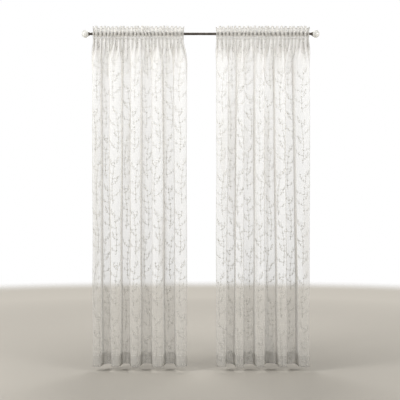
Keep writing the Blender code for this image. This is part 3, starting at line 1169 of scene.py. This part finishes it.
def onto_cloth(bm, hung):
    """Moves a flat layout of (across, towards the room, height) points onto the hung cloth."""
    flat = positions(bm.verts)
    points = hung.place(flat[:, 0] / CLOTH_WIDTH, flat[:, 2], np.zeros(len(flat)), -flat[:, 1])
    for vert, point in zip(bm.verts, points):
        vert.co = point
    return flat


def pinned(name, bm, panel, cloth, surface):
    """A flat layout laid on a panel as a piece that goes with it."""
    flat = onto_cloth(bm, hanging(panel, cloth))
    bmesh.ops.recalc_face_normals(bm, faces=bm.faces)
    piece = finished(name, bm, surface)
    set_cloth_map(piece.data, flat[:, 0], flat[:, 2])
    set_cover(piece.data, hanging(panel, cloth), flat[:, 0] / CLOTH_WIDTH, flat[:, 2])
    piece.parent = bpy.data.objects[piece_name(panel, "voile")]


YARN_THICKNESS = 0.0003
THREAD_RAISE = 0.00025
THREAD_WIDTH = 0.0006
THREAD_HEIGHT = 0.00035
STITCH_FACES = 4
STITCH_INSET = 0.003


def stitch_line(bm, start, end, stitch_length):
    """A straight line of stitches on the flat cloth, from one (across, height) point to another."""
    line = Vector((end[0] - start[0], 0.0, end[1] - start[1]))
    steps = STITCH_FACES * max(1, round(line.length / stitch_length))
    made = bmesh.ops.create_grid(bm, x_segments=steps, y_segments=2, size=0.5)["verts"]
    along = line.normalized()
    side = Vector((-along.z, 0.0, along.x))
    origin = Vector((start[0], 0.0, start[1]))
    gaps = []
    for face in {face for vert in made for face in vert.link_faces}:
        middle = face.calc_center_median()
        if int((middle.x + 0.5) * steps) % STITCH_FACES == STITCH_FACES - 1:
            gaps.append(face)
    bmesh.ops.delete(bm, geom=gaps, context="FACES")
    for vert in (vert for vert in made if vert.is_valid):
        at = (vert.co.x + 0.5) * steps % STITCH_FACES
        crowned = 0.4 < at < STITCH_FACES - 1.4 and abs(vert.co.y) < 0.01
        up = THREAD_RAISE + (THREAD_HEIGHT if crowned else 0.0)
        flat = origin + along * (line.length * (vert.co.x + 0.5)) + side * (THREAD_WIDTH * vert.co.y)
        vert.co = (flat.x, up, flat.z)


class CURTAIN_OT_stitching(bpy.types.Operator):
    """Sews the header seam, the pocket seam, the hem and the side hems"""

    bl_idname = "curtain.stitching"
    bl_label = "Add Stitching"
    bl_options = {"REGISTER", "UNDO"}

    def execute(self, context):
        cloth = context.scene.curtain_cloth
        surface = thread_surface(cloth)
        hem_line = HEM_BOTTOM + HEM_DEPTH - STITCH_INSET
        right_edge = CLOTH_WIDTH - STITCH_INSET
        hem_inset = SIDE_HEM - STITCH_INSET
        for panel in PANELS:
            bm = bmesh.new()
            for height in (HEADER_SEAM + 0.001, POCKET_SEAM - 0.0005, hem_line):
                stitch_line(bm, (STITCH_INSET, height), (right_edge, height), cloth.stitch_length)
            for across in (hem_inset, CLOTH_WIDTH - hem_inset):
                top = (across, POCKET_SEAM - 0.004)
                bottom = (across, HEM_BOTTOM + 0.004)
                stitch_line(bm, top, bottom, cloth.stitch_length)
            bm.normal_update()
            bmesh.ops.solidify(bm, geom=bm.faces, thickness=YARN_THICKNESS)
            pinned(piece_name(panel, "stitching"), bm, panel, cloth, surface)
        return {"FINISHED"}


# Sprigs, laid out flat as (across, towards the room, height)

SPRIG_RAISE = 0.0005
STEM_WIDTH = 0.0028
LEAF_LENGTH = 0.0150
LEAF_WIDTH = 0.0058
LEAF_BEND = 0.0012
LEAF_CROWN = 0.0003

# Angles in degrees: how far a twig curls up, and how far leaves stand off their twig and the stem
TWIG_CURL = 26
LEAF_SPREAD = 48
STEM_LEAF_LEAN = 38

# How much of a repeat a branch fills, how far its stem sways, and how far rows and panels are shifted
BRANCH_SHARE = 0.86
STEM_SWAY = 0.009
ROW_SWAY = 0.012
PANEL_DROP = 0.13


def add_leaf(bm, place, turn, size):
    """A pointed leaf, crowned along its middle."""
    made = bmesh.ops.create_grid(bm, x_segments=4, y_segments=2, size=0.5)["verts"]
    cosine = math.cos(turn)
    sine = math.sin(turn)
    for vert in made:
        along = vert.co.x + 0.5
        wide = math.sin(math.pi * along**0.8) * LEAF_WIDTH * size
        length = along * LEAF_LENGTH * size
        side = vert.co.y * wide + LEAF_BEND * math.sin(math.pi * along)
        crown = LEAF_CROWN if abs(vert.co.y) < 0.01 and 0.1 < along < 0.9 else 0.0
        x = place[0] + length * cosine - side * sine
        z = place[1] + length * sine + side * cosine
        vert.co = (x, SPRIG_RAISE + crown, z)
    bmesh.ops.remove_doubles(bm, verts=made, dist=1e-5)


def add_stem(bm, line, start_width, end_width):
    """A thin stem along a line of flat points, narrowing to its end."""
    steps = len(line) - 1
    made = bmesh.ops.create_grid(bm, x_segments=steps, y_segments=1, size=0.5)["verts"]
    for vert in made:
        index = round((vert.co.x + 0.5) * steps)
        before = line[max(index - 1, 0)]
        after = line[min(index + 1, steps)]
        direction = Vector((after[0] - before[0], after[1] - before[1])).normalized()
        width = start_width + (end_width - start_width) * index / steps
        side = vert.co.y * width
        vert.co = (line[index][0] - direction.y * side, SPRIG_RAISE, line[index][1] + direction.x * side)


Twig = namedtuple("Twig", "along side length rise")
BRANCHES = (
    (
        Twig(0.06, 1, 0.050, 30),
        Twig(0.17, -1, 0.066, 12),
        Twig(0.29, 1, 0.072, 8),
        Twig(0.43, -1, 0.048, 24),
        Twig(0.56, -1, 0.070, 6),
        Twig(0.66, 1, 0.058, 18),
        Twig(0.82, 1, 0.040, 38),
        Twig(0.90, -1, 0.044, 30),
    ),
    (
        Twig(0.08, -1, 0.058, 16),
        Twig(0.20, 1, 0.062, 14),
        Twig(0.33, -1, 0.046, 34),
        Twig(0.46, 1, 0.074, 4),
        Twig(0.60, -1, 0.064, 10),
        Twig(0.74, 1, 0.050, 26),
        Twig(0.87, -1, 0.038, 36),
    ),
)


def sprig_branch(twigs, height):
    """An upright stem with nearly level twigs that carry small leaves."""
    bm = bmesh.new()
    upwards = np.linspace(0.0, 1.0, 15)
    stem_heights = height * (upwards - 0.5)
    stem_across = STEM_SWAY * np.sin(3.6 * upwards + 0.4)
    add_stem(bm, list(zip(stem_across, stem_heights)), STEM_WIDTH, STEM_WIDTH * 0.6)
    for number, twig in enumerate(twigs):
        z = height * (twig.along - 0.5)
        x = float(np.interp(z, stem_heights, stem_across))
        points = []
        for share in np.linspace(0.0, 1.0, 7):
            climb = math.radians(twig.rise) + math.radians(TWIG_CURL) * share
            out = twig.length * share
            points.append((x + twig.side * out * math.cos(climb), z + out * math.sin(climb)))
        add_stem(bm, points, STEM_WIDTH * 0.75, STEM_WIDTH * 0.4)
        heading = math.atan2(points[-1][1] - points[-2][1], points[-1][0] - points[-2][0])
        add_leaf(bm, points[-1], heading, 1.0)
        for index, away in ((2, 1), (3, -1), (4, 1), (5, -1)):
            size = 0.86 - 0.07 * ((index + number) % 3)
            add_leaf(bm, points[index], heading + away * math.radians(LEAF_SPREAD), size)
        add_leaf(bm, (x, z), math.radians(90 + twig.side * STEM_LEAF_LEAN), 0.8)
    return bm


def sprig_templates(cloth):
    """One mesh for each layout of a branch, to be copied over the panels."""
    templates = []
    for twigs in BRANCHES:
        branch = sprig_branch(twigs, cloth.sprig_drop * BRANCH_SHARE)
        branch.normal_update()
        bmesh.ops.solidify(branch, geom=branch.faces, thickness=YARN_THICKNESS)
        template = bpy.data.meshes.new("sprig_branch")
        branch.to_mesh(template)
        branch.free()
        templates.append(template)
    return templates


def lay_sprigs(bm, panel, cloth, templates):
    """A column of branches on the middle of each wide face, with mirrored and half-dropped rows."""
    rows = math.ceil((HEADER_TOP - HEM_BOTTOM) / cloth.sprig_drop) + 1
    for column, face in enumerate(hanging(panel, cloth).face_columns()):
        half_drop = 0.5 * (column % 2) + PANEL_DROP * panel.unevenness
        for row in range(rows):
            across = CLOTH_WIDTH * face + ROW_SWAY * math.sin(2.3 * row + 1.7 * column)
            height = HEADER_TOP - cloth.sprig_drop * (row + half_drop)
            mirror = -1.0 if (row + column) % 2 else 1.0
            before = len(bm.verts)
            bm.from_mesh(templates[(row + column // 2) % 2])
            bm.verts.ensure_lookup_table()
            new = bm.verts[before:]
            bmesh.ops.scale(bm, verts=new, vec=(mirror, 1.0, 1.0))
            bmesh.ops.translate(bm, verts=new, vec=(across, 0.0, height))


def trim_to_cloth(bm):
    """Takes away the leaves and stems that lie on the pocket or past the sides and the hem's fold."""
    for point, direction in (
        ((0.0, 0.0, POCKET_SEAM - 0.006), (0.0, 0.0, 1.0)),
        ((0.0, 0.0, HEM_BOTTOM + 0.004), (0.0, 0.0, -1.0)),
        ((0.002, 0.0, 0.0), (-1.0, 0.0, 0.0)),
        ((CLOTH_WIDTH - 0.002, 0.0, 0.0), (1.0, 0.0, 0.0)),
    ):
        geometry = [*bm.verts, *bm.edges, *bm.faces]
        cut = bmesh.ops.bisect_plane(
            bm, geom=geometry, dist=1e-6, plane_co=point, plane_no=direction, clear_outer=True
        )
        edges = [item for item in cut["geom_cut"] if isinstance(item, bmesh.types.BMEdge)]
        bmesh.ops.holes_fill(bm, edges=edges, sides=0)


class CURTAIN_OT_sprigs(bpy.types.Operator):
    """Works the sprig pattern into both panels"""

    bl_idname = "curtain.sprigs"
    bl_label = "Add Sprigs"
    bl_options = {"REGISTER", "UNDO"}

    def execute(self, context):
        cloth = context.scene.curtain_cloth
        surface = sprig_surface(cloth)
        templates = sprig_templates(cloth)
        for panel in PANELS:
            bm = bmesh.new()
            lay_sprigs(bm, panel, cloth, templates)
            trim_to_cloth(bm)
            pinned(piece_name(panel, "sprigs"), bm, panel, cloth, surface)
        for template in templates:
            bpy.data.meshes.remove(template)
        return {"FINISHED"}


# Stage


# Each lamp's place, what it points at, its size and its share of the light power
Lamp = namedtuple("Lamp", "name place target size share")
LAMPS = (
    Lamp("side_light", (-2.8, -1.4, 0.9), (0.0, 0.0, -0.7), 1.3, 0.44),
    Lamp("fill_light", (2.4, -1.9, 0.7), (0.0, 0.0, -0.6), 1.4, 0.20),
    Lamp("top_light", (0.0, -0.8, 2.3), (0.0, 0.0, 0.0), 1.4, 0.14),
    Lamp("window_light", (0.0, 1.7, 0.6), (0.0, 0.0, -0.4), 1.8, 0.34),
)


def hang_lamp(lamp, power):
    """A soft square light that isn't seen itself."""
    data = bpy.data.lights.new(lamp.name, "AREA")
    data.shape = "SQUARE"
    data.size = lamp.size
    data.energy = power * lamp.share
    obj = bpy.data.objects.new(lamp.name, data)
    obj.location = lamp.place
    obj.rotation_euler = (Vector(lamp.target) - Vector(lamp.place)).to_track_quat("-Z", "Y").to_euler()
    obj.visible_camera = False
    bpy.context.scene.collection.objects.link(obj)


def pale_surroundings(soft_light):
    """White all round to look at, but only a soft light on the pieces."""
    world = bpy.data.worlds.new("studio_world")
    world.use_nodes = True
    nodes = world.node_tree.nodes
    seen = nodes.new("ShaderNodeLightPath").outputs["Is Camera Ray"]
    strength = nodes.new("ShaderNodeMapRange")
    strength.inputs["To Min"].default_value = soft_light
    strength.inputs["To Max"].default_value = 1.0
    background = nodes["Background"]
    background.inputs["Color"].default_value = WHITE
    world.node_tree.links.new(seen, strength.inputs["Value"])
    world.node_tree.links.new(strength.outputs["Result"], background.inputs["Strength"])
    return world


FLOOR_HEIGHT = -2.115
FLOOR_MARGIN = 0.1
SENSOR_WIDTH = 36.0
SEEN_WIDTH = 2.516
CAMERA_X = -0.0035
CAMERA_HEIGHT = -1.045


class CURTAIN_OT_stage(bpy.types.Operator):
    """Sets out the floor, the soft lights and the camera"""

    bl_idname = "curtain.stage"
    bl_label = "Set Stage"
    bl_options = {"REGISTER", "UNDO"}

    def execute(self, context):
        stage = context.scene.curtain_stage
        scene = context.scene
        bm = bmesh.new()
        bmesh.ops.create_grid(bm, x_segments=1, y_segments=1, size=stage.floor_reach + FLOOR_MARGIN)
        bmesh.ops.translate(bm, verts=bm.verts, vec=(0.0, 0.0, FLOOR_HEIGHT))
        floor = finished("studio_floor", bm, stage_surface(stage))

        for lamp in LAMPS:
            hang_lamp(lamp, stage.light_power)
        scene.world = pale_surroundings(stage.soft_light)

        camera = bpy.data.cameras.new("camera")
        camera.sensor_width = SENSOR_WIDTH
        camera.lens = SENSOR_WIDTH * stage.camera_distance / SEEN_WIDTH
        view = bpy.data.objects.new("camera", camera)
        view.location = (CAMERA_X, -stage.camera_distance, CAMERA_HEIGHT)
        view.rotation_euler = (math.pi / 2.0, 0.0, 0.0)
        scene.collection.objects.link(view)
        scene.camera = view
        scene.view_settings.view_transform = "Standard"
        return {"FINISHED"}


class CURTAIN_PT_build(bpy.types.Panel):
    """Lists the pieces of the curtain pair in the order they are made"""

    bl_idname = "CURTAIN_PT_build"
    bl_label = "Curtain Pair"
    bl_space_type = "VIEW_3D"
    bl_region_type = "UI"
    bl_category = "Curtain"

    def draw(self, context):
        for operator in OPERATORS:
            self.layout.operator(operator.bl_idname)
        for group in (
            context.scene.curtain_cloth,
            context.scene.curtain_fittings,
            context.scene.curtain_stage,
        ):
            box = self.layout.box()
            for name in group.__annotations__:
                box.prop(group, name)


OPERATORS = (
    CURTAIN_OT_rod,
    CURTAIN_OT_finials,
    CURTAIN_OT_panels,
    CURTAIN_OT_stitching,
    CURTAIN_OT_sprigs,
    CURTAIN_OT_stage,
)
SETTINGS = {
    "curtain_cloth": CurtainCloth,
    "curtain_fittings": CurtainFittings,
    "curtain_stage": CurtainStage,
}


def register():
    for name, group in SETTINGS.items():
        bpy.utils.register_class(group)
        setattr(bpy.types.Scene, name, bpy.props.PointerProperty(type=group))
    for operator in (*OPERATORS, CURTAIN_PT_build):
        bpy.utils.register_class(operator)


def unregister():
    for operator in reversed((*OPERATORS, CURTAIN_PT_build)):
        bpy.utils.unregister_class(operator)
    for name, group in SETTINGS.items():
        delattr(bpy.types.Scene, name)
        bpy.utils.unregister_class(group)


def main():
    register()
    bpy.ops.curtain.rod()
    bpy.ops.curtain.finials()
    bpy.ops.curtain.panels()
    bpy.ops.curtain.stitching()
    bpy.ops.curtain.sprigs()
    bpy.ops.curtain.stage()


if __name__ == "__main__":
    main()
